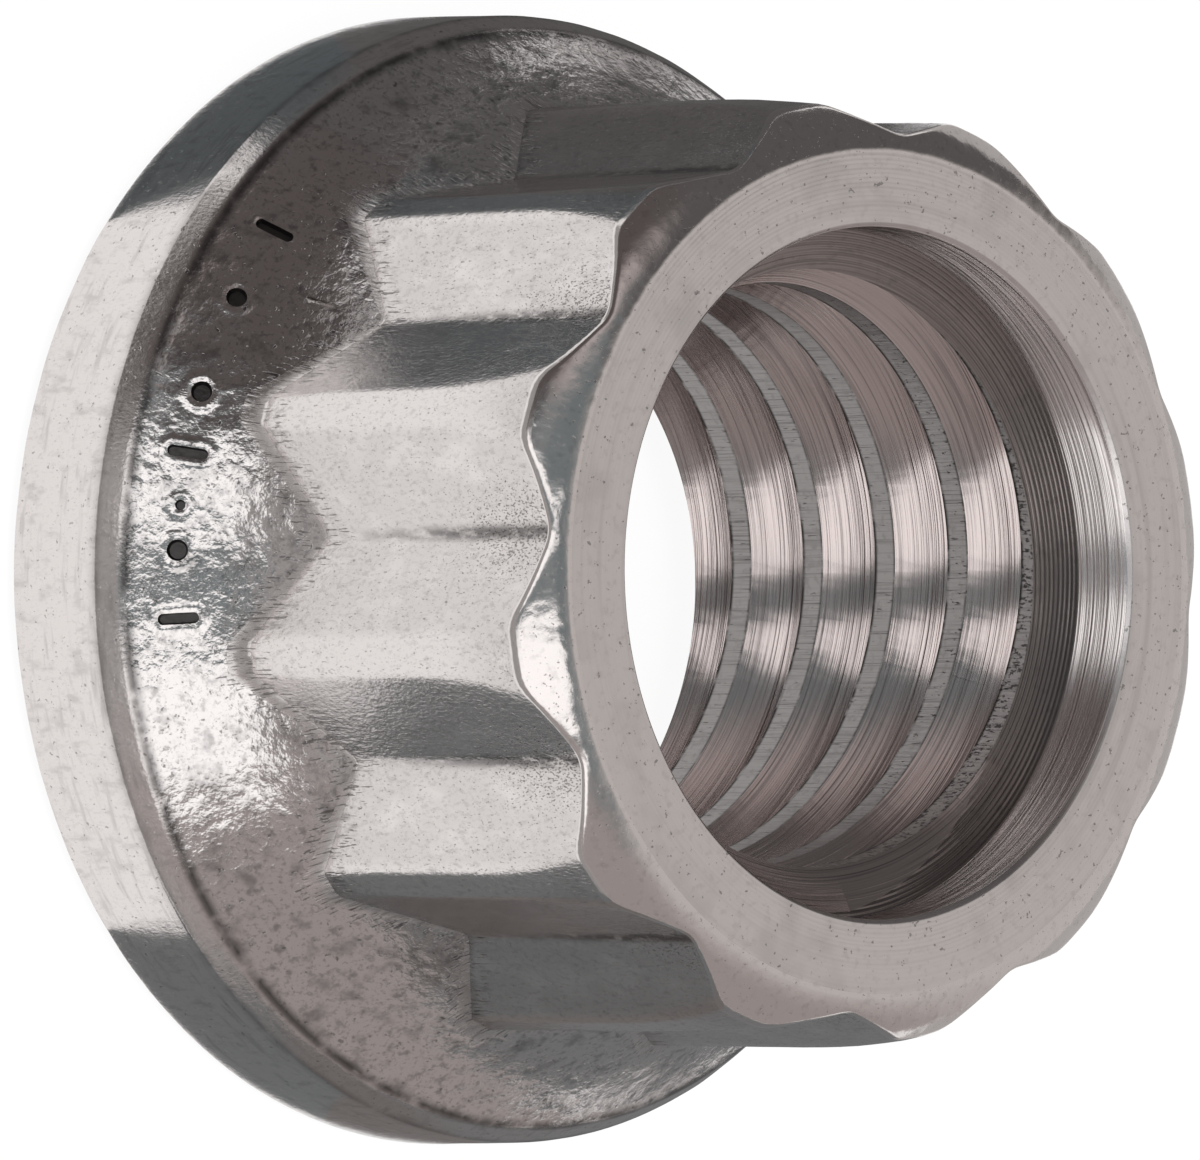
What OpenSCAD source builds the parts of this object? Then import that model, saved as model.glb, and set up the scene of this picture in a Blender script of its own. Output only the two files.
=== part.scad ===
// Twelve point flange nut, forged and turned in one piece.
// It stands on its bearing face: the origin is the centre of that face, +Z runs up the
// thread's axis, and one of the twelve points lies on +X. Sizes are in millimetres.

/* [Thread] */
// Nominal diameter of the thread
thread_d = 8; // [6:0.25:8.5]
// Pitch of the thread
thread_pitch = 1.25; // [0.75:0.05:1.5]
// How far the drilled hole is over the thread's basic minor diameter
drill_over = 0.2; // [0:0.05:0.25]
// How far the countersink in the bearing face is over the thread's diameter
entry_over = 0.6; // [0.2:0.1:1]

/* [Counterbore] */
// Gap over a stud's diameter in the plain counterbore at the mouth
stud_gap = 0.05; // [0.05:0.05:0.4]
// Depth of the counterbore's straight wall, with the broken edge at its mouth
counterbore_h = 0.85; // [0.4:0.05:1.5]
// Slope of the shoulder between the counterbore and the thread, up from level
shoulder_slope = 15; // [10:1:60]
// Broken edge at the mouth
mouth_edge = 0.05; // [0.03:0.01:0.25]

/* [Drive] */
// Height over all
height = 7.75; // [7:0.05:14]
// Width across the flats of each of the two crossed hexagons, a little under the socket's
across_flats = 9.9; // [9.7:0.05:12]
// How far each of the twelve points is trimmed back from a sharp corner
point_trim = 0.1; // [0.02:0.01:0.3]
// How far the flat ring round the mouth stays inside the valleys
ring_inset = 0.2; // [0.05:0.01:0.3]
// How far the rounded crown has dropped below the ring where it meets the points
crown_drop = 0.55; // [0.35:0.01:0.8]
// Slope at which the crown leaves the flat ring, down from level
crown_lead = 18; // [5:1:22]

/* [Flange] */
// Diameter of the flange
flange_d = 13.5; // [12.8:0.1:20]
// Broken edge round the bearing face
rim_edge = 0.12; // [0.05:0.01:0.3]
// Height at which the straight side of the rim ends
rim_h = 1.5; // [0.8:0.05:2]
// Draft of the rim's side
rim_draft = 1.5; // [0:0.5:8]
// How far in the rim's broken upper corner runs
rim_break = 0.16; // [0.05:0.01:0.3]
// Slope of that broken corner, up from level
break_slope = 62; // [50:1:75]
// Height at which the flange's slope runs out in the valleys between the points
neck_h = 3.8; // [3:0.05:5]
// How far the slope dips below a straight cone
slope_dip = 0.15; // [0.05:0.01:0.25]

/* [Hidden] */

// Cuts run this far past the faces that they leave through
past = 1;
// A thread's basic minor diameter is this many pitches under its nominal one
minor_per_pitch = 1.0825;

minor_r = (thread_d - minor_per_pitch * thread_pitch + drill_over) / 2;
entry_r = (thread_d + entry_over) / 2;
entry_h = entry_r - minor_r;
counterbore_r = (thread_d + stud_gap) / 2;
shoulder_z = height - counterbore_h;
wall_top_z = shoulder_z - (counterbore_r - minor_r) * tan(shoulder_slope);

// Where two crossed hexagons meet between neighbouring points, and the points themselves
valley_r = across_flats / 2 / cos(15);
corner_r = across_flats / 2 / cos(30);
point_r = corner_r - point_trim;

// The crown is an arc that leaves the ring at its lead and drops to the points
ring_r = valley_r - ring_inset;
crown_chord = [point_r - ring_r, crown_drop];
crown_r = norm(crown_chord) / 2 / sin(atan2(crown_chord.y, crown_chord.x) - crown_lead);
crown_centre = [ring_r, height] - crown_r * [sin(crown_lead), cos(crown_lead)];

// The rim's side leans in by its draft, and the slope starts at the top of its broken corner
flange_r = flange_d / 2;
rim_top = [flange_r - (rim_h - rim_edge) * tan(rim_draft), rim_h];
crease = rim_top + rim_break * [-1, tan(break_slope)];

// The slope is an arc over the chord from the crease to the neck, on a centre outside the flange
neck = [valley_r, neck_h];
chord = neck - crease;
slope_r = (pow(norm(chord) / 2, 2) + pow(slope_dip, 2)) / (2 * slope_dip);
slope_centre = (crease + neck) / 2 + [chord.y, -chord.x] / norm(chord) * (slope_r - slope_dip);

// The flange goes on up inside the points, and stops this far over the neck
flange_top = neck_h + ring_inset;

// Outline of the drive: two hexagons a twelfth of a turn apart, with their corners trimmed
module double_hexagon() {
    intersection() {
        union() {
            circle(corner_r, $fn = 6);
            rotate(30) circle(corner_r, $fn = 6);
        }
        circle(point_r, $fn = 96);
    }
}

// Half section of the crown, which turns the front of the drive round to a flat ring
module crown_section() {
    brim_r = corner_r + past;
    intersection() {
        square([brim_r, height]);
        union() {
            square([brim_r, crown_centre.y]);
            square([crown_centre.x, height]);
            translate(crown_centre) circle(crown_r, $fn = 96);
        }
    }
}

module drive() {
    intersection() {
        translate([0, 0, rim_h]) linear_extrude(height - rim_h) double_hexagon();
        rotate_extrude($fn = 96) crown_section();
    }
}

// Half section of the flange: a drafted rim with a broken upper corner, then a hollow slope
module flange_section() {
    top_r = crease.x - (flange_top - crease.y) / tan(break_slope);
    difference() {
        polygon([
            [0, 0], [flange_r - rim_edge, 0], [flange_r, rim_edge], rim_top, [top_r, flange_top], [0, flange_top]
        ]);
        translate(slope_centre) circle(slope_r, $fn = 192);
    }
}

module flange() {
    rotate_extrude($fn = 96) flange_section();
}

// Half section of everything that is drilled and turned out along the axis
module hole_section() {
    mouth_r = counterbore_r + mouth_edge;
    polygon([
        [0, -past], [entry_r + past, -past], [minor_r, entry_h], [minor_r, wall_top_z],
        [counterbore_r, shoulder_z], [counterbore_r, height - mouth_edge],
        [mouth_r + past, height + past], [0, height + past]
    ]);
}

module nut() {
    color([0.72, 0.69, 0.67])
    difference() {
        union() {
            flange();
            drive();
        }
        rotate_extrude($fn = 96) hole_section();
    }
}

nut();
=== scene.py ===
# %% [markdown]
# # A twelve point flange nut, dressed
# The nut is one piece of stainless steel: forged to shape, tumbled bright, then turned, drilled and
# tapped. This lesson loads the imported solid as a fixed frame, models the same nut again with all its
# small radii, its real thread and its worn skin, and lights it like a studio photograph. Work is done in
# millimetres, and the finished mesh is brought down to metres at the end.

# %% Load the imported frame
import math

import bpy
import numpy as np
from mathutils import Matrix, Vector


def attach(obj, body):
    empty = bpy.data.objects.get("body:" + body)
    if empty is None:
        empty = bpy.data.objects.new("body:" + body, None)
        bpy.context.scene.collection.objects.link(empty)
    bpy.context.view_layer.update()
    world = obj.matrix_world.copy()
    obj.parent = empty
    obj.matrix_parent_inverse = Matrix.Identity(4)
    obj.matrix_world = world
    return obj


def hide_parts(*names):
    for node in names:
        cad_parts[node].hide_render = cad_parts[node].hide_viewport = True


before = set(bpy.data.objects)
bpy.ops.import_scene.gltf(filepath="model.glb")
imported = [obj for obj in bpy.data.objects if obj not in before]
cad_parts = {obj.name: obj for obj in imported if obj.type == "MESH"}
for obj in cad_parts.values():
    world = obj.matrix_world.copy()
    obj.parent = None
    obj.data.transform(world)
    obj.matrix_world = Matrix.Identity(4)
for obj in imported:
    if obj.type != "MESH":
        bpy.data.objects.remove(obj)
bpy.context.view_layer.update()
MM = 0.001

# %% [markdown]
# ## The camera
# The photograph looks down on the mouth of the nut at about 47 degrees with a very long lens, and is
# turned so that the nut's axis runs to the right. The eye point and angles were found by fitting the
# solid's edges to the picture. A camera's own axes are right, up and back, so the three are worked out
# and set as a matrix.

# %% Stand the camera
PICTURE_WIDE = 1200
SENSOR_MM = 36.0
FOCAL_PIXELS = 16625.6
EYE_MM = Vector((131.598, -20.909, 147.584))
VIEW_AZIMUTH = math.radians(-9.0406)
VIEW_ELEVATION = math.radians(47.3542)
VIEW_ROLL = math.radians(89.0419)
NEAREST_SEEN = 0.01


def direction(azimuth, elevation):
    """A unit vector at that azimuth and elevation, both in radians."""
    level = math.cos(elevation)
    return Vector((math.cos(azimuth) * level, math.sin(azimuth) * level, math.sin(elevation)))


bpy.ops.object.select_all(action="DESELECT")
back = direction(VIEW_AZIMUTH, VIEW_ELEVATION)
level_right = Vector((-math.sin(VIEW_AZIMUTH), math.cos(VIEW_AZIMUTH), 0))
level_up = back.cross(level_right)
right = level_right * math.cos(VIEW_ROLL) + level_up * math.sin(VIEW_ROLL)
up = back.cross(right)
bpy.ops.object.camera_add()
camera = bpy.context.object
camera.name = "photo_camera"
turn = Matrix((right, up, back)).transposed().to_4x4()
camera.matrix_world = Matrix.Translation(EYE_MM * MM) @ turn
camera.data.sensor_width = SENSOR_MM
camera.data.lens = FOCAL_PIXELS / PICTURE_WIDE * SENSOR_MM
camera.data.clip_start = NEAREST_SEEN
bpy.context.scene.camera = camera
bpy.context.scene.view_settings.view_transform = "Standard"
print("lens in mm:", round(camera.data.lens, 2))

# %% [markdown]
# ## Small helpers for shaders
# A finish is a tree of nodes. These helpers add a node with its settings, join sockets, and keep the
# later cells short. Every pattern reads Object coordinates, turned from metres into millimetres by one
# Mapping node.


# %% Helpers for shader trees
def new_material(name):
    """An empty node material with its output node."""
    material = bpy.data.materials.new(name)
    material.use_nodes = True
    material.node_tree.nodes.clear()
    output = material.node_tree.nodes.new("ShaderNodeOutputMaterial")
    return material, material.node_tree, output


def feed_socket(tree, socket, value):
    """Link a socket to another socket, or set it to a constant."""
    if isinstance(value, bpy.types.NodeSocket):
        tree.links.new(value, socket)
    else:
        socket.default_value = value


def put(tree, kind, settings=None, **sockets):
    """Add a node, set its properties, and set or link each named socket."""
    node = tree.nodes.new(kind)
    for key, value in (settings or {}).items():
        setattr(node, key, value)
    for key, value in sockets.items():
        feed_socket(tree, node.inputs[key.replace("_", " ")], value)
    return node


def sums(tree, operation, first, second):
    """A Math node over two values or sockets."""
    node = tree.nodes.new("ShaderNodeMath")
    node.operation = operation
    for socket, value in zip(node.inputs, (first, second)):
        feed_socket(tree, socket, value)
    return node.outputs[0]


# %% [markdown]
# ## The white floor
# The nut stands on a plain white sweep. Most of its white is a glow that the camera and reflections
# see, so the page stays white without more light on the steel, and the rest is ordinary diffuse white
# that takes the shadow.

# %% Lay the floor
FLOOR_SIDE = 3.0
FLOOR_GLOW = 0.93
FLOOR_DROP = 0.02 * MM

white_floor, tree, output = new_material("white_sweep")
glow = put(tree, "ShaderNodeEmission", Color=(1, 1, 1, 1), Strength=1.0)
matt = put(tree, "ShaderNodeBsdfDiffuse", Color=(0.9, 0.9, 0.9, 1))
path = put(tree, "ShaderNodeLightPath")
seen = sums(tree, "MAXIMUM", path.outputs["Is Camera Ray"], path.outputs["Is Glossy Ray"])
seen = sums(tree, "MAXIMUM", seen, path.outputs["Is Transmission Ray"])
share = sums(tree, "MULTIPLY", seen, FLOOR_GLOW)
blend = tree.nodes.new("ShaderNodeMixShader")
tree.links.new(share, blend.inputs[0])
tree.links.new(matt.outputs[0], blend.inputs[1])
tree.links.new(glow.outputs[0], blend.inputs[2])
tree.links.new(blend.outputs[0], output.inputs["Surface"])

bpy.ops.mesh.primitive_plane_add(size=FLOOR_SIDE, location=(0, 0, -FLOOR_DROP))
floor = bpy.context.object
floor.name = "floor"
floor.data.materials.append(white_floor)
print("floor:", floor.dimensions[:])

# %% [markdown]
# ## The room
# Polished steel has almost no colour of its own: it shows the room. So the room is built as a
# photographer would. The world is a dim studio: dark on the left under a pale ceiling, cool in front,
# and pale on the right and behind, with one dark corner at the back. Two tall softboxes flank the camera
# and draw the bright bands in the thread and on the crown. Dull cards, which photographers call flags,
# lie on the floor round the nut where its facets turn dark. One more grey disc under the bore is a
# painted
# shadow: it stands for the shaded floor inside the hole, as the steel sees it. The cards are seen by
# reflections only.

# %% Paint the studio's walls
STUDIO_TURN = math.radians(-7.85)
DARK_SIDE = (0.108, 0.095, 0.093, 1)
HIGH_SIDE = (0.60, 0.54, 0.525, 1)
FRONT_LOW = (0.37, 0.355, 0.35, 1)
FRONT_SIDE = (0.185, 0.213, 0.222, 1)
PALE_SIDE = (0.38, 0.345, 0.335, 1)
PALE_BACK = (0.60, 0.575, 0.56, 1)
DARK_BACK = (0.112, 0.108, 0.108, 1)

world = bpy.data.worlds.new("studio")
bpy.context.scene.world = world
world.use_nodes = True
tree = world.node_tree
toward = put(tree, "ShaderNodeTexCoord").outputs["Generated"]
turned = put(tree, "ShaderNodeMapping", Vector=toward, Rotation=(0, 0, -STUDIO_TURN)).outputs[0]
split = put(tree, "ShaderNodeSeparateXYZ", Vector=turned)


def between(tree, value, low, high):
    """A value brought smoothly to 0 at low and to 1 at high."""
    node = put(tree, "ShaderNodeMapRange", {"interpolation_type": "SMOOTHSTEP"}, Value=value)
    node.inputs["From Min"].default_value = low
    node.inputs["From Max"].default_value = high
    return node.outputs[0]


def mixed(tree, share, first, second):
    """A colour between two, each a socket or a constant."""
    node = tree.nodes.new("ShaderNodeMix")
    node.data_type = "RGBA"
    sockets = (node.inputs[0], node.inputs[6], node.inputs[7])
    for socket, value in zip(sockets, (share, first, second)):
        feed_socket(tree, socket, value)
    return node.outputs[2]


walls = mixed(tree, between(tree, split.outputs["Z"], 0.6, 0.85), DARK_SIDE, HIGH_SIDE)
front = mixed(tree, between(tree, split.outputs["Z"], 0.16, 0.36), FRONT_LOW, FRONT_SIDE)
walls = mixed(tree, between(tree, split.outputs["Y"], -0.62, -0.36), walls, front)
walls = mixed(tree, between(tree, split.outputs["Y"], 0.3, 0.6), walls, PALE_SIDE)
rear = mixed(tree, between(tree, split.outputs["Y"], -0.1, -0.42), PALE_BACK, DARK_BACK)
rear = mixed(tree, between(tree, split.outputs["Y"], 0.4, 0.75), rear, PALE_SIDE)
walls = mixed(tree, between(tree, split.outputs["X"], 0.05, -0.3), walls, rear)
tree.links.new(walls, tree.nodes["Background"].inputs["Color"])
print("walls painted")

# %% Hang the softboxes
AIM = Vector((0, 0, 4 * MM))
CARD_AWAY = 200 * MM
SOFTBOX_STRENGTH = 1.35


def softbox(name, rows, strength):
    """A glowing strip in rows of elevation in degrees, sideways from and to, as seen from the nut."""
    bpy.ops.object.select_all(action="DESELECT")
    bpy.ops.mesh.primitive_grid_add(x_subdivisions=1, y_subdivisions=len(rows) - 1, size=2)
    made = bpy.context.object
    made.name = name
    for vertex in made.data.vertices:
        elevation, low, high = rows[round((vertex.co.y + 1) / 2 * (len(rows) - 1))]
        rise = math.sin(math.radians(elevation))
        sideways = high if vertex.co.x > 0 else low
        ahead = math.sqrt(1 - rise**2 - sideways**2)
        way = Matrix.Rotation(STUDIO_TURN, 3, "Z") @ Vector((ahead, sideways, rise))
        vertex.co = AIM + way * CARD_AWAY
    material, card_tree, card_output = new_material(name)
    lit = put(card_tree, "ShaderNodeEmission", Color=(1, 1, 1, 1), Strength=strength)
    card_tree.links.new(lit.outputs[0], card_output.inputs["Surface"])
    made.data.materials.append(material)
    made.visible_camera = False
    made.visible_shadow = False


left_rows = (
    (13, -0.46, -0.15), (20, -0.44, -0.15), (30, -0.42, -0.14), (42, -0.37, -0.12),
    (55, -0.30, -0.12), (68, -0.165, -0.095), (79, -0.14, -0.095),
)
right_rows = (
    (13, 0.14, 0.65), (20, 0.13, 0.62), (30, 0.11, 0.58), (42, 0.08, 0.52),
    (55, 0.08, 0.42), (68, 0.075, 0.34), (79, 0.065, 0.18),
)
softbox("left_softbox", left_rows, SOFTBOX_STRENGTH)
softbox("right_softbox", right_rows, SOFTBOX_STRENGTH)

LAMP_AT = (0.05, 0.02, 0.3)
LAMP_SIDE = 0.25
LAMP_WATTS = 1.2

bpy.ops.object.select_all(action="DESELECT")
bpy.ops.object.light_add(type="AREA", location=LAMP_AT)
lamp = bpy.context.object
lamp.name = "overhead_softbox"
lamp.data.size = LAMP_SIDE
lamp.data.energy = LAMP_WATTS
lamp.visible_glossy = False
print("softboxes hung")

# %% Lay the flags beside the nut
FLAG_R = 6.8
FLAG_FAR = 400
FLAG_LIFT = 0.01
ARC_STEPS = 16


def flag(name, corners, from_angle, to_angle, colour, radius=FLAG_R):
    """A dull card on the floor: its corners in millimetres, then an arc round the axis in degrees."""
    outline = [Vector(corner) for corner in corners]
    for step in range(ARC_STEPS + 1):
        angle = math.radians(from_angle + (to_angle - from_angle) * step / ARC_STEPS)
        outline.append(radius * Vector((math.cos(angle), math.sin(angle))))
    bpy.ops.object.select_all(action="DESELECT")
    bpy.ops.mesh.primitive_circle_add(vertices=len(outline), radius=1, fill_type="NGON")
    made = bpy.context.object
    made.name = name
    for vertex, spot in zip(made.data.vertices, outline):
        vertex.co = Matrix.Rotation(STUDIO_TURN, 4, "Z") @ Vector((*spot, FLAG_LIFT)) * MM
    material, flag_tree, flag_output = new_material(name)
    dull = put(flag_tree, "ShaderNodeEmission", Color=colour, Strength=1.0)
    flag_tree.links.new(dull.outputs[0], flag_output.inputs["Surface"])
    made.data.materials.append(material)
    made.visible_camera = False
    made.visible_diffuse = False
    made.visible_shadow = False
    made.visible_transmission = False


LEFT_TEAL = (0.095, 0.108, 0.114, 1)
LEFT_GREY = (0.112, 0.108, 0.109, 1)
RIGHT_TEAL = (0.175, 0.186, 0.19, 1)
RIGHT_WARM = (0.185, 0.174, 0.17, 1)
RIGHT_PALE = (0.20, 0.205, 0.208, 1)
FRONT_GREY = (0.38, 0.37, 0.365, 1)
BACK_GREY = (0.48, 0.465, 0.46, 1)
BORE_SHADOW_GREY = (0.50, 0.495, 0.49, 1)

left_corners = ((-38, -FLAG_FAR), (63, -FLAG_FAR), (5, -14), (4.5, -10.7))
right_corners = ((100, FLAG_FAR), (137, FLAG_FAR), (9.5, 12), (7.3, 5.3), (6.0, 5.6))
flag("left_flag", left_corners, -41, -78, LEFT_TEAL)
flag("left_back_flag", ((-250, -FLAG_FAR), (-38, -FLAG_FAR)), -78, -150, LEFT_GREY)
flag("right_flag", right_corners, 36, 72, RIGHT_TEAL)
flag("right_side_flag", ((-20, FLAG_FAR), (100, FLAG_FAR)), 72, 93, RIGHT_WARM)
flag("right_back_flag", ((-250, FLAG_FAR), (-20, FLAG_FAR)), 93, 150, RIGHT_PALE)
flag("front_flag", ((250, -700), (700, 0), (250, 700)), 60, -66, FRONT_GREY, 18)
flag("back_flag", ((-700, 600), (-700, -600)), 240, 120, BACK_GREY, 16)
# Painted shadow: the grey disc under the bore stands for the shaded floor inside the hole, as reflections
# see it
flag("bore_shadow_card", (), 0, 337.5, BORE_SHADOW_GREY, 4.2)
print("flags laid")

# %% [markdown]
# ## The sizes of the nut
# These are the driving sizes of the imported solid, in millimetres, with the small radii that tumbling
# gives the real part. A double hexagon has twelve points; each facet is a flat of one of two crossed
# hexagons. A hair is taken off the height and the flange, so that the dressed nut stays inside the solid.

# %% Sizes in millimetres
HEIGHT = 7.7495
ACROSS_FLATS = 9.9
POINT_TRIM = 0.1
RING_INSET = 0.2
CROWN_DROP = 0.55
CROWN_LEAD = math.radians(18)
FLANGE_R = 6.745
RIM_EDGE = 0.12
RIM_TOP_Z = 1.5
RIM_DRAFT = math.radians(1.5)
RIM_BREAK = 0.16
BREAK_SLOPE = math.radians(62)
NECK_Z = 3.8
SLOPE_DIP = 0.15
THREAD_R = 4.0
THREAD_PITCH = 1.25
BORE_R = 3.4234
ENTRY_R = 4.3
COUNTERBORE_R = 4.025
SHOULDER_Z = 6.9
SHOULDER_SLOPE = math.radians(15)
MOUTH_EDGE = 0.05

POINT_EDGE = 0.28
VALLEY_EDGE = 0.10
FOOT_R = 1.0
FOOT_LEAN = math.radians(20)
RIM_CORNER = 0.12
CREASE_CORNER = 0.3
RING_BEND = 0.2
BEAD_R = 0.03
LIP_R = 0.04
HEEL_R = 0.05
LAND_BLEND = 0.022
VALLEY_BLEND = 0.05
EASE_REACH = 1.8
LAND_DROP = 0.11
LAND_EASE = 0.05
VALLEY_EASE = 0.03

corner_r = ACROSS_FLATS / 2 / math.cos(math.radians(30))
valley_r = ACROSS_FLATS / 2 / math.cos(math.radians(15))
point_r = corner_r - POINT_TRIM
ring_r = valley_r - RING_INSET
chord = Vector((point_r - ring_r, CROWN_DROP))
crown_r = chord.length / 2 / math.sin(math.atan2(chord.y, chord.x) - CROWN_LEAD)
crown_at = Vector((ring_r, HEIGHT)) - crown_r * Vector((math.sin(CROWN_LEAD), math.cos(CROWN_LEAD)))
rim_top = Vector((FLANGE_R - (RIM_TOP_Z - RIM_EDGE) * math.tan(RIM_DRAFT), RIM_TOP_Z))
crease = rim_top + RIM_BREAK * Vector((-1, math.tan(BREAK_SLOPE)))
neck = Vector((valley_r, NECK_Z))
span = neck - crease
slope_r = ((span.length / 2) ** 2 + SLOPE_DIP**2) / (2 * SLOPE_DIP)
slope_at = (crease + neck) / 2 + Vector((span.y, -span.x)).normalized() * (slope_r - SLOPE_DIP)
print("points", round(point_r, 3), "valleys", round(valley_r, 3), "slope radius", round(slope_r, 3))

# %% [markdown]
# ## The section at any angle
# A lathe section is a line in radius and height. Here the drive's radius changes round the axis, so the
# section is a function of the angle, always with the same number of points. Each row of points then
# follows one feature all the way round: the scalloped front edge, the zigzag foot of the facets, the
# crease at the rim. That keeps the edges crisp and the mesh light, which a remesh or a Boolean of prisms
# would not.


# %% Pieces of a section
def soft_min(first, second, reach):
    """The smaller value, with the corner between the two rounded over that reach."""
    near = max(reach - abs(first - second), 0) / reach
    return min(first, second) - near * near * reach / 4


def drive_radius(angle, ease=0):
    """Radius of the double hexagon at an angle in degrees; more ease wears its points lower and wider."""
    off = abs((angle + 15) % 30 - 15)
    own_flat = ACROSS_FLATS / 2 / math.cos(math.radians(30 - off))
    next_flat = ACROSS_FLATS / 2 / math.cos(math.radians(off))
    flat = -soft_min(-own_flat, -next_flat, VALLEY_BLEND + ease * VALLEY_EASE)
    return soft_min(flat, point_r - ease * LAND_DROP, LAND_BLEND + ease * LAND_EASE)


def line(start, end, count):
    """Points from start towards end, without the end itself."""
    return [start.lerp(end, step / count) for step in range(count)]


def arc(centre, radius, start, end, count):
    """Points on the short arc between the directions of two points, without the end itself."""
    first = math.atan2(start.y - centre.y, start.x - centre.x)
    last = math.atan2(end.y - centre.y, end.x - centre.x)
    turn = (last - first + math.pi) % (2 * math.pi) - math.pi
    angles = [first + turn * step / count for step in range(count)]
    return [centre + radius * Vector((math.cos(a), math.sin(a))) for a in angles]


def softened(before, corner, after, radius, count):
    """A straight corner replaced by an arc: its points, and where the arc ends."""
    one = (before - corner).normalized()
    two = (after - corner).normalized()
    half = one.angle(two) / 2
    reach = radius / math.tan(half)
    centre = corner + (one + two).normalized() * radius / math.sin(half)
    return arc(centre, radius, corner + one * reach, corner + two * reach, count), corner + two * reach


# %% The whole section
FACET_STEPS = 18


def section(angle):
    """Closed half section at an angle in degrees: a list of (region, radius and height)."""
    rows = []

    def add(region, points):
        rows.extend((region, point) for point in points)

    wall_r = drive_radius(angle)
    top_r = drive_radius(angle, 1)
    pointed = (top_r - valley_r) / (point_r - valley_r)
    edge = VALLEY_EDGE + (POINT_EDGE - VALLEY_EDGE) * max(pointed, 0) ** 2
    bend_at = Vector((0, HEIGHT - RING_BEND))
    bend_at.x = crown_at.x + math.sqrt((crown_r - RING_BEND) ** 2 - (bend_at.y - crown_at.y) ** 2)
    bend_end = crown_at + crown_r * (bend_at - crown_at).normalized()
    edge_at = Vector((top_r - edge, 0))
    edge_at.y = crown_at.y + math.sqrt((crown_r - edge) ** 2 - (edge_at.x - crown_at.x) ** 2)
    edge_start = crown_at + crown_r * (edge_at - crown_at).normalized()
    edge_end = Vector((top_r, edge_at.y))
    foot_at = Vector((wall_r + FOOT_R * math.cos(FOOT_LEAN), 0))
    foot_at.y = slope_at.y - math.sqrt((slope_r - FOOT_R) ** 2 - (foot_at.x - slope_at.x) ** 2)
    foot_start = Vector((wall_r, foot_at.y - FOOT_R * math.sin(FOOT_LEAN)))
    foot_end = slope_at + slope_r * (foot_at - slope_at).normalized()

    mouth_low = Vector((COUNTERBORE_R, HEIGHT - MOUTH_EDGE))
    mouth_high = Vector((COUNTERBORE_R + MOUTH_EDGE, HEIGHT))
    shoulder = Vector((COUNTERBORE_R, SHOULDER_Z))
    wall_top = Vector((BORE_R, SHOULDER_Z - (COUNTERBORE_R - BORE_R) * math.tan(SHOULDER_SLOPE)))
    entry_out = Vector((ENTRY_R, 0))
    entry_in = Vector((BORE_R, ENTRY_R - BORE_R))
    low_in = Vector((FLANGE_R - RIM_EDGE, 0))
    low_out = Vector((FLANGE_R, RIM_EDGE))

    bead, bead_end = softened(shoulder, mouth_low, mouth_high, BEAD_R, 3)
    lip, lip_end = softened(mouth_low, mouth_high, Vector((ring_r, HEIGHT)), LIP_R, 3)
    add("counterbore", line(shoulder, bead[0], 5))
    add("counterbore", bead)
    add("ring", line(bead_end, lip[0], 1))
    add("ring", lip)
    add("ring", line(lip_end, Vector((bend_at.x, HEIGHT)), 5))
    add("crown", arc(bend_at, RING_BEND, Vector((bend_at.x, HEIGHT)), bend_end, 3))
    add("crown", arc(crown_at, crown_r, bend_end, edge_start, 7))
    add("edge", arc(edge_at, edge, edge_start, edge_end, 6))
    facet = []
    fall = foot_start.y - edge_end.y
    for step in range(FACET_STEPS):
        height = edge_end.y + fall * (1 - math.cos(math.pi * step / FACET_STEPS)) / 2
        ease = max(1 - (edge_end.y - height) / EASE_REACH, 0) ** 2
        facet.append(Vector((drive_radius(angle, ease), height)))
    add("facet", facet)
    add("foot", arc(foot_at, FOOT_R, foot_start, foot_end, 8))
    down_slope = Vector((slope_at.y - crease.y, crease.x - slope_at.x)).normalized()
    bend, bend_out = softened(crease - down_slope, crease, rim_top, CREASE_CORNER, 3)
    brow, brow_end = softened(crease, rim_top, low_out, RIM_CORNER, 4)
    heel, heel_end = softened(rim_top, low_out, low_in, HEEL_R, 3)
    add("slope", arc(slope_at, slope_r, foot_end, bend[0], 16))
    add("rim", bend)
    add("rim", line(bend_out, brow[0], 3))
    add("rim", brow)
    sole, sole_end = softened(low_out, low_in, entry_out, HEEL_R, 3)
    add("rim", line(brow_end, heel[0], 6))
    add("rim", heel)
    add("rim", line(heel_end, sole[0], 1))
    add("bearing", sole)
    add("bearing", line(sole_end, entry_out, 6))
    add("bearing", line(entry_out, entry_in, 4))
    add("crest", line(entry_in, wall_top, 10))
    add("shoulder", line(wall_top, shoulder, 3))
    return rows


blank = section(0)
print("points in a section:", len(blank))

# %% [markdown]
# ## The turned blank
# A circle with one vertex for each point of the section is pulled to the section through a point of the
# drive, and spun a full turn, as a lathe would turn a blank.

# %% Spin the blank
COLUMNS = 480
MERGE_REACH = 0.0005

bpy.ops.object.select_all(action="DESELECT")
bpy.ops.mesh.primitive_circle_add(vertices=len(blank), radius=1, fill_type="NOTHING")
nut = bpy.context.object
nut.name = "nut_body"
for vertex, (region, point) in zip(nut.data.vertices, blank):
    vertex.co = (point.x, 0, point.y)
bpy.ops.object.mode_set(mode="EDIT")
bpy.ops.mesh.select_all(action="SELECT")
bpy.ops.mesh.spin(steps=COLUMNS, angle=2 * math.pi, center=(0, 0, 0), axis=(0, 0, 1))
bpy.ops.mesh.select_all(action="SELECT")
bpy.ops.mesh.remove_doubles(threshold=MERGE_REACH)
bpy.ops.mesh.normals_make_consistent(inside=False)
bpy.ops.object.mode_set(mode="OBJECT")
print("blank:", len(nut.data.vertices), "vertices", len(nut.data.polygons), "faces")

# %% [markdown]
# ## Press the drive
# Each column of the blank is moved to the section at its own angle. The columns are also drawn together
# near the points and the valleys, where the shape turns, and spread over the flat of the facets.

# %% Press the facets
CROWDING = 0.7

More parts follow.
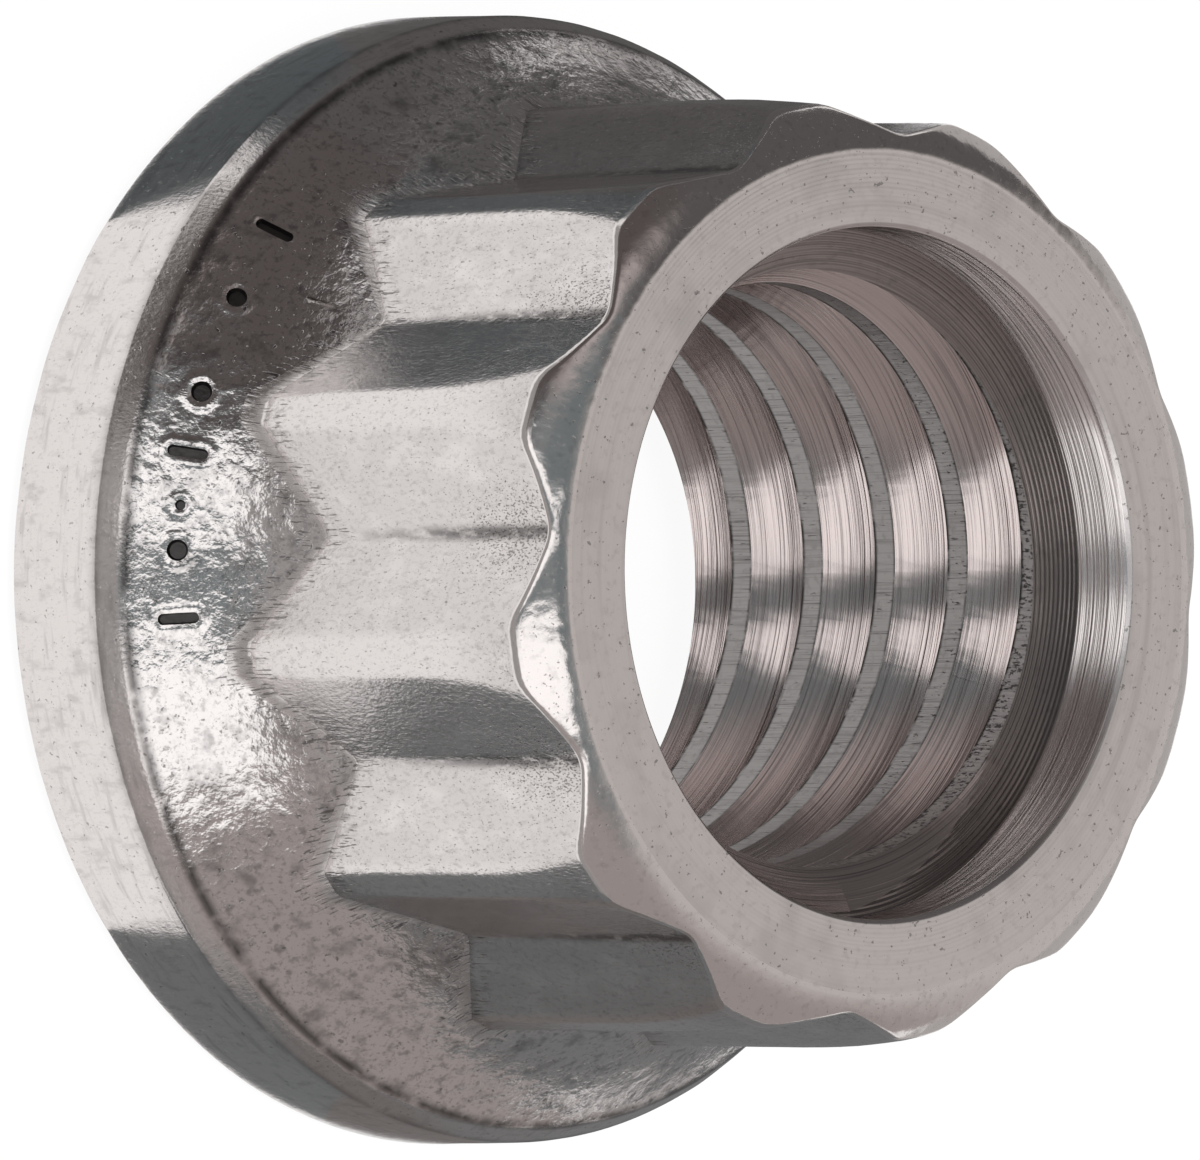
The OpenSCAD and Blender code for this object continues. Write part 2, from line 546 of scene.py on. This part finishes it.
spots = np.empty(len(nut.data.vertices) * 3)
nut.data.vertices.foreach_get("co", spots)
spots = spots.reshape(-1, 3)
blank_points = np.array([point[:] for region, point in blank])
radii = np.hypot(spots[:, 0], spots[:, 1])
sideways = radii[:, None] - blank_points[None, :, 0]
upright = spots[:, 2:3] - blank_points[None, :, 1]
rows = (sideways**2 + upright**2).argmin(axis=1)
turns = np.degrees(np.arctan2(spots[:, 1], spots[:, 0])) / 360
columns = np.rint(turns * COLUMNS).astype(int) % COLUMNS

pressed = np.empty((COLUMNS, len(blank), 2))
turned_to = np.empty(COLUMNS)
for column in range(COLUMNS):
    angle = column * 360 / COLUMNS
    angle -= CROWDING * 15 / (2 * math.pi) * math.sin(2 * math.pi * angle / 15)
    turned_to[column] = math.radians(angle)
    pressed[column] = [point[:] for region, point in section(angle)]
places = pressed[columns, rows]
spots[:, 0] = places[:, 0] * np.cos(turned_to[columns])
spots[:, 1] = places[:, 0] * np.sin(turned_to[columns])
spots[:, 2] = places[:, 1]
nut.data.vertices.foreach_set("co", spots.ravel())
nut.data.update()
print("drive pressed, widest", round(float(np.hypot(spots[:, 0], spots[:, 1]).max()), 4))

# %% [markdown]
# ## Painted shade and wear
# Painted shade darkens the foot of the facets, the crease and the upper corner of the rim, and the
# valleys, darker towards the crown. Wear is the fan of short scratches at the foot. Both follow the
# shape, so they are measured along the section and kept on the mesh as attributes that the finishes read.

# %% Mark painted shade and wear on the mesh
SEAM_REACH = 0.09
VALLEY_REACH = 0.1
WEAR_REACH = 0.4
VALLEY_LOW_Z = 3.0
VALLEY_RISE = 3.5
LEAST_SHARE = 0.25
ROWS_TO_CORNER = 7

regions = [region for region, point in blank]
steps_down = np.linalg.norm(np.diff(pressed, axis=1), axis=2)
run = np.concatenate([np.zeros((COLUMNS, 1)), np.cumsum(steps_down, axis=1)], axis=1)
# Painted shade: how dark each point is painted, at the seams and along the valleys
painted_shade = np.zeros((COLUMNS, len(blank)))
foot_row = regions.index("foot")
rim_row = regions.index("rim")
# How dark the painted shade is at each seam: the foot of the facets, the crease and the rim's upper
# corner
seam_shade = ((foot_row, 0.2), (rim_row, 0.7), (rim_row + ROWS_TO_CORNER, 0.4))
for seam, weight in seam_shade:
    painted_shade = np.maximum(painted_shade, weight * np.exp(-(((run - run[:, seam:seam + 1]) / SEAM_REACH) ** 2)))
off_valley = np.abs((np.degrees(turned_to) % 30) - 15)
valley_line = np.exp(-((np.radians(off_valley) * valley_r / VALLEY_REACH) ** 2))
facet_rows = np.array([region == "facet" for region in regions])
higher = np.clip((pressed[:, :, 1] - VALLEY_LOW_Z) / VALLEY_RISE, LEAST_SHARE, 1)
painted_shade = np.maximum(painted_shade, valley_line[:, None] * facet_rows[None, :] * higher)
painted_shade_layer = nut.data.attributes.new("painted_shade", "FLOAT", "POINT")
painted_shade_layer.data.foreach_set("value", painted_shade[columns, rows].astype(np.float32))
wear = np.exp(-(((run - run[:, foot_row:foot_row + 1]) / WEAR_REACH) ** 2))
worn = nut.data.attributes.new("wear", "FLOAT", "POINT")
worn.data.foreach_set("value", wear[columns, rows].astype(np.float32))
print("grime up to", round(float(painted_shade.max()), 3), "and wear up to", round(float(wear.max()), 3))

# %% [markdown]
# ## The recipe for steel
# All the finishes are the same steel, cut, pressed or tumbled in different ways, so one recipe makes
# them all. A finish is a list of layers. Each layer is a noise, stretched along or round the nut, that
# adds relief in real millimetres, and may stain the steel or roughen it. Relief goes through one Bump
# node whose distance is a millimetre, so slopes come out true to size. Flecks are the tiny dark marks
# that tumbling leaves, and turning is the fine regular groove that a lathe tool leaves.

# %% Places on the nut
GROOVE_START_Z = -0.764
ROUND_R = 5.5


def places_on(tree, seam_turn):
    """Object coordinates in millimetres: as they are, round the axis, and along the thread."""
    place = put(tree, "ShaderNodeTexCoord").outputs["Object"]
    flat = put(tree, "ShaderNodeMapping", Vector=place, Scale=(1000, 1000, 1000)).outputs[0]
    seam = (0, 0, math.radians(seam_turn))
    turned = put(tree, "ShaderNodeMapping", Vector=flat, Rotation=seam).outputs[0]
    x, y, z = put(tree, "ShaderNodeSeparateXYZ", Vector=turned).outputs
    squares = sums(tree, "ADD", sums(tree, "POWER", x, 2), sums(tree, "POWER", y, 2))
    radius = sums(tree, "POWER", squares, 0.5)
    angle = sums(tree, "ARCTAN2", y, x)
    way_round = sums(tree, "MULTIPLY", angle, ROUND_R)
    climb = sums(tree, "SUBTRACT", z, sums(tree, "MULTIPLY", angle, THREAD_PITCH / (2 * math.pi)))
    groove_at = GROOVE_START_Z - THREAD_PITCH * seam_turn / 360
    turns = sums(tree, "DIVIDE", sums(tree, "SUBTRACT", climb, groove_at), THREAD_PITCH)
    return {
        "flat": flat,
        "round": put(tree, "ShaderNodeCombineXYZ", X=way_round, Y=radius, Z=z).outputs[0],
        "thread": put(tree, "ShaderNodeCombineXYZ", X=way_round, Y=radius, Z=climb).outputs[0],
        "height": z,
        "radius": radius,
        "lead": sums(tree, "FRACT", turns, 0),
        "painted_shade": put(tree, "ShaderNodeAttribute", {"attribute_name": "painted_shade"}).outputs["Fac"],
        "wear": put(tree, "ShaderNodeAttribute", {"attribute_name": "wear"}).outputs["Fac"],
    }


# %% Words of the recipe
def grain(space, stretch, detail=2, relief=0, stain=0, rough=0, tone=0, where=()):
    """A noise layer: stretch per mm, relief in mm, and shares that stain, roughen or darken the steel."""
    return {
        "space": space, "stretch": stretch, "detail": detail, "relief": relief,
        "stain": stain, "rough": rough, "tone": tone, "where": where,
    }


def flecks(space, stretch, level, ink, depth=0.002, where=()):
    """Irregular dark flecks, where a noise rises over a level."""
    return {
        "space": space, "stretch": stretch, "level": level, "ink": ink, "depth": depth, "where": where,
    }


def mask_of(tree, places, where):
    """The product of all the masks in a list of (place, low, high)."""
    mask = None
    for place, low, high in where:
        part = between(tree, places[place], low, high)
        mask = sums(tree, "MULTIPLY", mask, part) if mask else part
    return mask


def noise_in(tree, places, layer, detail, roughness):
    """The noise of a layer, in its own space and with its own stretch."""
    spot = put(tree, "ShaderNodeMapping", Vector=places[layer["space"]], Scale=layer["stretch"])
    noise = put(tree, "ShaderNodeTexNoise", Vector=spot.outputs[0], Scale=1.0)
    noise.inputs["Detail"].default_value = detail
    noise.inputs["Roughness"].default_value = roughness
    return noise.outputs[0]


# %% The recipe
# The dark of the flecks and of the tone layers; on the creases, the valleys and the crests' edges it is
# painted shade
FLECK_AND_SHADE = (0.03, 0.027, 0.026, 1)
FLECK_EDGE = 0.06
FLECK_THINNING = 0.2


def steel(name, tint, roughness, layers, scattered=(), turning=None, seam_turn=0):
    """A steel finish: grain layers, flecks, and turned lines of (place, feed and depth in mm, wave)."""
    material, tree, output = new_material(name)
    places = places_on(tree, seam_turn)
    colour = (*tint, 1)
    rough = roughness
    reliefs = []
    for layer in layers:
        noise = noise_in(tree, places, layer, layer["detail"], 0.55)
        swing = sums(tree, "SUBTRACT", noise, 0.5)
        mask = mask_of(tree, places, layer["where"])
        if mask:
            swing = sums(tree, "MULTIPLY", swing, mask)
        if layer["relief"]:
            reliefs.append(sums(tree, "MULTIPLY", swing, layer["relief"]))
        if layer["stain"]:
            stained = tuple(part * (1 - layer["stain"]) for part in tint)
            colour = mixed(tree, between(tree, swing, 0.02, 0.25), colour, (*stained, 1))
        # A tone layer darkens the steel towards the dark of the flecks where its mask is; over the
        # creases, the valleys and the crests' edges this is painted shade
        if layer["tone"]:
            ragged = between(tree, noise, 0.25, 0.55)
            share = sums(tree, "MULTIPLY", sums(tree, "MULTIPLY", mask, ragged), layer["tone"])
            colour = mixed(tree, share, colour, FLECK_AND_SHADE)
        if layer["rough"]:
            rough = sums(tree, "ADD", rough, sums(tree, "MULTIPLY", swing, layer["rough"]))
    for fleck in scattered:
        noise = noise_in(tree, places, fleck, 2.0, 0.6)
        mask = mask_of(tree, places, fleck["where"])
        if mask:
            thinning = sums(tree, "MULTIPLY", sums(tree, "SUBTRACT", 1, mask), FLECK_THINNING)
            noise = sums(tree, "SUBTRACT", noise, thinning)
        hit = between(tree, noise, fleck["level"], fleck["level"] + FLECK_EDGE)
        reliefs.append(sums(tree, "MULTIPLY", hit, -fleck["depth"]))
        colour = mixed(tree, sums(tree, "MULTIPLY", hit, fleck["ink"]), colour, FLECK_AND_SHADE)
    if turning:
        place, feed, depth, shape = turning
        spot = put(tree, "ShaderNodeMapping", Vector=places["round"], Scale=(0.12, 2, 2)).outputs[0]
        drift = put(tree, "ShaderNodeTexNoise", Vector=spot, Scale=1.0, Detail=2.0).outputs[0]
        passes = sums(tree, "ADD", sums(tree, "DIVIDE", places[place], feed), drift)
        phase = sums(tree, "MULTIPLY", passes, 2 * math.pi if shape == "SINE" else 1)
        reliefs.append(sums(tree, "MULTIPLY", sums(tree, shape, phase, 0), -depth))
    shader = put(tree, "ShaderNodeBsdfPrincipled", Metallic=1.0, Base_Color=colour, Roughness=rough)
    relief = reliefs[0]
    for step in reliefs[1:]:
        relief = sums(tree, "ADD", relief, step)
    bump = put(tree, "ShaderNodeBump", Strength=1.0, Distance=MM, Height=relief)
    tree.links.new(bump.outputs[0], shader.inputs["Normal"])
    tree.links.new(shader.outputs[0], output.inputs["Surface"])
    return material


# %% [markdown]
# ## A finish for each region
# The ring round the mouth is turned and satin. The crown, the rim and the flange's slope are forged and
# tumbled bright, the slope with small hammered waves. The facets carry fine flecks at the crown, and
# short scratches at the foot. The counterbore has turned grooves over a shoulder tinted dark, which is
# painted shade, and the thread has drawn lines along its flanks and scratches along the axis on its
# crests. Dark lines painted along the crests' edges are painted shade too, and so is the darkening of
# the creases and valleys on the outside.

# %% Mix the finishes
STEEL = (0.735, 0.69, 0.675)
WARM = (0.60, 0.525, 0.51)

finish_of = {
    "ring": steel(
        "turned_ring", (0.72, 0.68, 0.67), 0.3,
        [
            grain("round", (0.15, 26, 1), relief=0.002, stain=0.05, rough=0.06),
            grain("flat", (9, 9, 9), 3, relief=0.0022, stain=0.12, rough=0.08),
            grain("flat", (1.1, 1.1, 1.1), relief=0.006, stain=0.14),
            grain("round", (0.12, 5, 1), stain=0.14),
        ],
        [flecks("flat", (14, 14, 14), 0.66, 0.5)],
        turning=("radius", 0.055, 0.0005, "SINE"),
    ),
    "crown": steel(
        "tumbled_crown", STEEL, 0.13,
        [
            grain("flat", (2.2, 2.2, 2.2), relief=0.012),
            grain("flat", (9, 9, 9), 3, relief=0.002, stain=0.15, rough=0.08),
        ],
        [flecks("flat", (20, 20, 20), 0.66, 0.45)],
    ),
    "edge": steel(
        "worn_edge", STEEL, 0.16,
        [
            grain("flat", (3, 3, 3), relief=0.006),
            grain("flat", (12, 12, 12), 3, relief=0.001, stain=0.10, rough=0.05),
        ],
    ),
    "facet": steel(
        "tumbled_facet", STEEL, 0.2,
        [
            grain("round", (5.5, 1, 2.2), 3, relief=0.005),
            grain("flat", (14, 14, 8), 3, relief=0.0022, stain=0.22, rough=0.10),
            grain("flat", (24, 24, 14), relief=0.0045, stain=0.15),
            grain("round", (15, 1, 3), relief=0.012, stain=0.4, where=(("wear", 0.05, 0.8),)),
            grain("flat", (2.5, 2.5, 1.5), 3, tone=0.14, where=(("radius", 5.6, 5.52),)),
            # Painted shade at the foot of the facets and along the valleys, darker towards the crown
            grain("flat", (8, 8, 4), 3, tone=0.75, where=(("painted_shade", 0.1, 1.0),)),
        ],
        [
            flecks("flat", (34, 34, 17), 0.65, 0.42),
            flecks("round", (42, 3, 3.6), 0.58, 0.6, 0.004, (("wear", 0.05, 0.7),)),
            flecks(
                "flat", (40, 40, 24), 0.55, 0.55, 0.003, (("radius", 5.5, 5.15), ("height", 5.0, 7.2)),
            ),
        ],
    ),
    "foot": steel(
        "forged_foot", STEEL, 0.26,
        [
            grain("round", (14, 1.5, 1.5), 3, relief=0.018, stain=0.4, rough=0.1),
            grain("flat", (3, 3, 3), relief=0.010, stain=0.15),
            # Painted shade along the foot of the facets
            grain("round", (5, 2, 2), 3, tone=0.8, where=(("painted_shade", 0.1, 1.0),)),
        ],
        [flecks("round", (42, 3, 3.6), 0.57, 0.6, 0.004)],
    ),
    "slope": steel(
        "hammered_slope", (0.725, 0.69, 0.68), 0.15,
        [
            grain("flat", (1.5, 1.5, 1.5), relief=0.014),
            grain("flat", (3, 3, 3), 3, relief=0.012, stain=0.45),
            grain("flat", (7, 7, 7), 3, relief=0.009, stain=0.45, rough=0.06),
            grain("flat", (18, 18, 18), relief=0.003, stain=0.35, rough=0.10),
            # Painted shade at the foot of the facets and at the crease above the rim
            grain("round", (2.5, 2, 2), 3, tone=0.85, where=(("painted_shade", 0.1, 0.8),)),
        ],
        [
            flecks("flat", (12, 12, 12), 0.66, 0.5),
            flecks("round", (36, 4, 4.5), 0.56, 0.55, 0.004, (("wear", 0.02, 0.6),)),
        ],
    ),
    "rim": steel(
        "tumbled_rim", STEEL, 0.2,
        [
            grain("round", (1.4, 1, 0.7), relief=0.012),
            grain("round", (8, 6, 3), 3, relief=0.0025, stain=0.22, rough=0.10),
            grain("flat", (24, 24, 14), relief=0.003, stain=0.12),
            grain("round", (2.2, 2, 9), relief=0.0012, stain=0.2),
            # Painted shade at the crease and along the rim's upper corner
            grain("round", (2.5, 2, 2), 3, tone=0.85, where=(("painted_shade", 0.1, 0.8),)),
        ],
        [flecks("flat", (16, 16, 16), 0.66, 0.5)],
    ),
    "bearing": steel(
        "faced_bearing", STEEL, 0.28,
        [
            grain("round", (0.12, 22, 1), relief=0.003, stain=0.10, rough=0.05),
            grain("flat", (6, 6, 6), 3, relief=0.002, stain=0.15, rough=0.10),
        ],
        [flecks("flat", (12, 12, 12), 0.66, 0.5)],
        turning=("radius", 0.12, 0.002, "SINE"),
    ),
    "counterbore": steel(
        "bored_wall", (0.76, 0.715, 0.705), 0.2,
        [
            grain("round", (0.08, 1, 28), relief=0.014, stain=0.45, rough=0.08),
            grain("round", (0.5, 1, 9), relief=0.004, stain=0.15),
        ],
        turning=("height", 0.13, 0.068, "FRACT"),
        seam_turn=180,
    ),
    # The shoulder's dark tint is painted shade, deep in the counterbore
    "shoulder": steel(
        "shoulder_painted_shade", (0.27, 0.235, 0.225), 0.24,
        [
            grain("round", (0.10, 30, 1), relief=0.005, stain=0.4, rough=0.05),
            grain("flat", (7, 7, 7), 3, relief=0.002, stain=0.2, rough=0.05),
        ],
        turning=("radius", 0.06, 0.003, "SINE"),
        seam_turn=180,
    ),
    "crest": steel(
        "reamed_crest", (0.55, 0.525, 0.52), 0.32,
        [
            grain("round", (45, 1, 1.0), 3, relief=0.005, stain=0.6, rough=0.10),
            grain("round", (14, 1, 0.8), 3, relief=0.004, stain=0.3),
            grain("round", (5, 1, 9), relief=0.002, stain=0.2),
            # Painted shade: dark lines along both edges of each crest, where it meets the groove
            grain("thread", (3, 1, 2), 3, tone=0.95, where=(("lead", 0.410, 0.372),)),
            grain("thread", (3, 1, 2), 3, tone=0.7, where=(("lead", 0.600, 0.632),)),
        ],
        [
            flecks("round", (18, 1, 4), 0.66, 0.6),
            flecks("round", (20, 1, 12), 0.55, 0.8, 0.004, (("height", 4.6, 6.4),)),
        ],
        seam_turn=180,
    ),
    "flank": steel(
        "tapped_flank", WARM, 0.14,
        [
            grain("thread", (0.14, 60, 26), relief=0.0034, stain=0.5, rough=0.06),
            grain("thread", (0.25, 20, 9), relief=0.0035, stain=0.35),
        ],
        turning=("radius", 0.05, 0.0003, "SINE"),
        seam_turn=180,
    ),
    "punch": steel(
        "punched_mark", (0.085, 0.08, 0.078), 0.36,
        [grain("flat", (14, 14, 14), 3, relief=0.006, stain=0.3, rough=0.1)],
    ),
}
steel_names = tuple(finish_of)
for name in steel_names:
    nut.data.materials.append(finish_of[name])
print("finishes:", steel_names)

# %% Give each region its finish
blank_regions = [steel_names.index(region) for region, point in blank]
face_rows = np.array([min(rows[list(face.vertices)]) for face in nut.data.polygons])
face_last = np.array([max(rows[list(face.vertices)]) for face in nut.data.polygons])
face_rows[(face_rows == 0) & (face_last == len(blank) - 1)] = len(blank) - 1
nut.data.polygons.foreach_set("material_index", np.array(blank_regions)[face_rows])
print("faces with a finish:", len(face_rows))

# %% [markdown]
# ## The forged skin
# Forging and tumbling leave no face quite true. A Displace modifier with a cloud pattern sinks the outer
# skin by a few hundredths of a millimetre, most on the flange's slope and at the foot of the facets. It
# only sinks, so the nut stays inside its own size, and the turned ring and the hole are left true.

# %% Beat the skin
SKIN_DEPTH = 0.03
SKIN_WAVE = 0.8
skin_share = {"crown": 0.35, "edge": 0.4, "facet": 0.4, "foot": 1.0, "slope": 1.0, "rim": 0.5}

skin = nut.vertex_groups.new(name="skin")
for row, (region, point) in enumerate(blank):
    if region in skin_share:
        skin.add([int(index) for index in np.flatnonzero(rows == row)], skin_share[region], "REPLACE")
clouds = bpy.data.textures.new("forged_clouds", "CLOUDS")
clouds.noise_scale = SKIN_WAVE
clouds.noise_depth = 2
beating = nut.modifiers.new("beating", "DISPLACE")
beating.texture = clouds
beating.texture_coords = "LOCAL"
beating.vertex_group = skin.name
beating.mid_level = 1.0
beating.strength = SKIN_DEPTH
bpy.ops.object.select_all(action="DESELECT")
nut.select_set(True)
bpy.context.view_layer.objects.active = nut
bpy.ops.object.modifier_apply(modifier=beating.name)
print("skin beaten, widest", round(max(math.hypot(v.co.x, v.co.y) for v in nut.data.vertices), 4))

# %% [markdown]
# ## Tap the thread
# A tap cuts a helical groove in the drilled hole. The groove's section is drawn once and wound up the
# axis by a Screw modifier, then taken out of the nut by a Boolean, so the thread runs out by itself in
# the countersink and in the shoulder of the counterbore, as a real one does.

# %% Wind the tap
GROOVE_ROOT_HALF = 0.12
ROOT_CORNER = 0.05
FLANK_SLOPE = math.tan(math.radians(30))
CUTTER_IN_R = 3.22
TAP_TURNS = 7
TAP_STEPS = 120

mouth_half = GROOVE_ROOT_HALF + (THREAD_R - CUTTER_IN_R) * FLANK_SLOPE
groove = (
    (CUTTER_IN_R, -mouth_half),
    (THREAD_R - ROOT_CORNER, -GROOVE_ROOT_HALF - ROOT_CORNER * FLANK_SLOPE),
    (THREAD_R, -GROOVE_ROOT_HALF + ROOT_CORNER),
    (THREAD_R, GROOVE_ROOT_HALF - ROOT_CORNER),
    (THREAD_R - ROOT_CORNER, GROOVE_ROOT_HALF + ROOT_CORNER * FLANK_SLOPE),
    (CUTTER_IN_R, mouth_half),
)
bpy.ops.object.select_all(action="DESELECT")
bpy.ops.mesh.primitive_circle_add(vertices=len(groove), radius=1, fill_type="NOTHING")
tap = bpy.context.object
tap.name = "tap"
for vertex, (radius, rise) in zip(tap.data.vertices, groove):
    vertex.co = (radius, 0, GROOVE_START_Z + rise)
winding = tap.modifiers.new("winding", "SCREW")
winding.axis = "Z"
winding.angle = 2 * math.pi
winding.screw_offset = THREAD_PITCH
winding.iterations = TAP_TURNS
winding.steps = TAP_STEPS
winding.render_steps = TAP_STEPS
winding.use_merge_vertices = False
bpy.ops.object.modifier_apply(modifier=winding.name)
bpy.ops.object.mode_set(mode="EDIT")
bpy.ops.mesh.select_all(action="SELECT")
bpy.ops.mesh.fill_holes(sides=0)
bpy.ops.mesh.select_all(action="SELECT")
bpy.ops.mesh.normals_make_consistent(inside=False)
bpy.ops.object.mode_set(mode="OBJECT")
for name in steel_names:
    tap.data.materials.append(finish_of[name])
flank_index = steel_names.index("flank")
tap.data.polygons.foreach_set("material_index", [flank_index] * len(tap.data.polygons))
print("tap:", len(tap.data.polygons), "faces")

# %% Cut the thread
bpy.ops.object.select_all(action="DESELECT")
nut.select_set(True)
bpy.context.view_layer.objects.active = nut
tapping = nut.modifiers.new("tapping", "BOOLEAN")
tapping.operation = "DIFFERENCE"
tapping.solver = "EXACT"
tapping.object = tap
bpy.ops.object.modifier_apply(modifier=tapping.name)
bpy.data.objects.remove(tap)
print("tapped:", len(nut.data.polygons), "faces")

# %% [markdown]
# ## Punch the flange
# The flange carries a row of plain dots and bars, struck into its slope after forging. A struck mark
# throws up a bright rim round itself, so the slope there is divided finer and raised round each mark
# first. Each punch is a tapered cylinder, stretched for a bar and set along the slope's normal. A last,
# slim one makes the dent that a knock has left higher up. All the punches are joined to one tool and
# taken out of the nut by one Boolean, which leaves crisp edges as a struck mark has.

# %% Where the marks are
MARK_R = 6.08
SMALL_DOT = (0.07, 0.07)
DOT = (0.14, 0.14)
BAR = (0.075, 0.25)
marks = (
    (-51.7, BAR), (-42.4, DOT), (-30.7, DOT), (-23.7, BAR), (-17.8, SMALL_DOT), (-12.8, DOT), (-5.3, BAR),
)


def slope_place(radius, angle):
    """A spot on the foot or the slope at an angle in degrees, and the way straight out of it."""
    outward = Vector((math.cos(math.radians(angle)), math.sin(math.radians(angle)), 0))
    way_down = [point for region, point in section(angle) if region in ("foot", "slope")]
    upper, lower = next(pair for pair in zip(way_down, way_down[1:]) if pair[1].x >= radius)
    spot = upper.lerp(lower, (radius - upper.x) / (lower.x - upper.x))
    along = (lower - upper).normalized()
    straight_out = outward * -along.y + Vector((0, 0, along.x))
    return outward * spot.x + Vector((0, 0, spot.y)), straight_out


strokes = [(*slope_place(MARK_R, angle), *size) for angle, size in marks]
print("marks:", len(strokes))

# %% Raise the rims of the marks
RIM_WIDE = 0.05
RIM_HIGH = 0.012
RIM_FAR = 0.5
LEAST_LIFT = 0.001
STRUCK_ANGLES = (-57, 0)
STRUCK_RADII = (5.75, 6.4)

bpy.ops.object.mode_set(mode="EDIT")
bpy.ops.mesh.select_all(action="DESELECT")
bpy.ops.object.mode_set(mode="OBJECT")
slope_index = steel_names.index("slope")
for face in nut.data.polygons:
    where = face.center
    turn = math.degrees(math.atan2(where.y, where.x))
    in_angle = STRUCK_ANGLES[0] < turn < STRUCK_ANGLES[1]
    in_radius = STRUCK_RADII[0] < math.hypot(where.x, where.y) < STRUCK_RADII[1]
    face.select = in_angle and in_radius and face.material_index == slope_index
bpy.ops.object.mode_set(mode="EDIT")
bpy.ops.mesh.select_mode(type="FACE")
bpy.ops.mesh.subdivide(number_cuts=3)
bpy.ops.object.mode_set(mode="OBJECT")
raised = 0
for vertex in nut.data.vertices:
    if not vertex.select:
        continue
    lift = 0.0
    for spot, out, half_wide, half_tall in strokes:
        away = vertex.co - spot
        if away.length > RIM_FAR:
            continue
        side = Vector((-spot.y, spot.x, 0)).normalized()
        across = abs(away.dot(side))
        along = max(abs(away.dot(out.cross(side))) - (half_tall - half_wide), 0)
        from_edge = (math.hypot(across, along) - half_wide - RIM_WIDE) / RIM_WIDE
        lift = max(lift, RIM_HIGH * math.exp(-from_edge * from_edge))
    if lift > LEAST_LIFT:
        vertex.co += lift * vertex.normal
        raised += 1
print("rims raised at", raised, "vertices")

# %% Shape the punches
PUNCH_TIP = 0.7
PUNCH_TOP = 1.15
MARK_DEPTH = 0.085
DENT_R = 5.5
DENT_ANGLE = -45.1
DENT_SIZE = (0.06, 0.24, 0.09)


def punch(spot, out, half_wide, half_tall, depth, finish):
    """A tapered cylinder set into the slope, and pulled out up the slope where it is taller than wide."""
    bpy.ops.mesh.primitive_cone_add(vertices=20, radius1=PUNCH_TIP, radius2=PUNCH_TOP, depth=2)
    made = bpy.context.object
    for vertex in made.data.vertices:
        stretch = math.copysign(half_tall - half_wide, vertex.co.y) if abs(vertex.co.y) > 0.01 else 0
        vertex.co = (vertex.co.x * half_wide, vertex.co.y * half_wide + stretch, vertex.co.z * depth)
    side = Vector((-spot.y, spot.x, 0)).normalized()
    turn = Matrix((side, out.cross(side), out)).transposed().to_4x4()
    made.matrix_world = Matrix.Translation(spot) @ turn
    for name in steel_names:
        made.data.materials.append(finish_of[name])
    finish_index = steel_names.index(finish)
    made.data.polygons.foreach_set("material_index", [finish_index] * len(made.data.polygons))
    return made


bpy.ops.object.select_all(action="DESELECT")
punches = [punch(*stroke, MARK_DEPTH, "punch") for stroke in strokes]
punches.append(punch(*slope_place(DENT_R, DENT_ANGLE), *DENT_SIZE, "slope"))
print("punches:", len(punches))

# %% Strike the marks
bpy.ops.object.select_all(action="DESELECT")
for made in punches:
    made.select_set(True)
bpy.context.view_layer.objects.active = punches[0]
bpy.ops.object.transform_apply(location=True, rotation=True, scale=True)
bpy.ops.object.join()
tool = bpy.context.object
bpy.ops.object.select_all(action="DESELECT")
nut.select_set(True)
bpy.context.view_layer.objects.active = nut
striking = nut.modifiers.new("striking", "BOOLEAN")
striking.operation = "DIFFERENCE"
striking.solver = "EXACT"
striking.object = tool
bpy.ops.object.modifier_apply(modifier=striking.name)
bpy.data.objects.remove(tool)
print("struck:", len(nut.data.polygons), "faces")

# %% [markdown]
# ## Bring it to size
# The mesh comes down from millimetres to metres, its sharp edges are marked by angle, and it takes the
# place of the plain solid on the body "root".

# %% Hand the nut over
SHARP_FROM = math.radians(32)

bpy.ops.object.mode_set(mode="EDIT")
bpy.ops.mesh.select_all(action="SELECT")
bpy.ops.transform.resize(value=(MM, MM, MM), center_override=(0, 0, 0))
bpy.ops.object.mode_set(mode="OBJECT")
bpy.ops.object.shade_smooth_by_angle(angle=SHARP_FROM)
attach(nut, "root")
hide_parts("nut")
print("triangles:", sum(len(face.vertices) - 2 for face in nut.data.polygons))
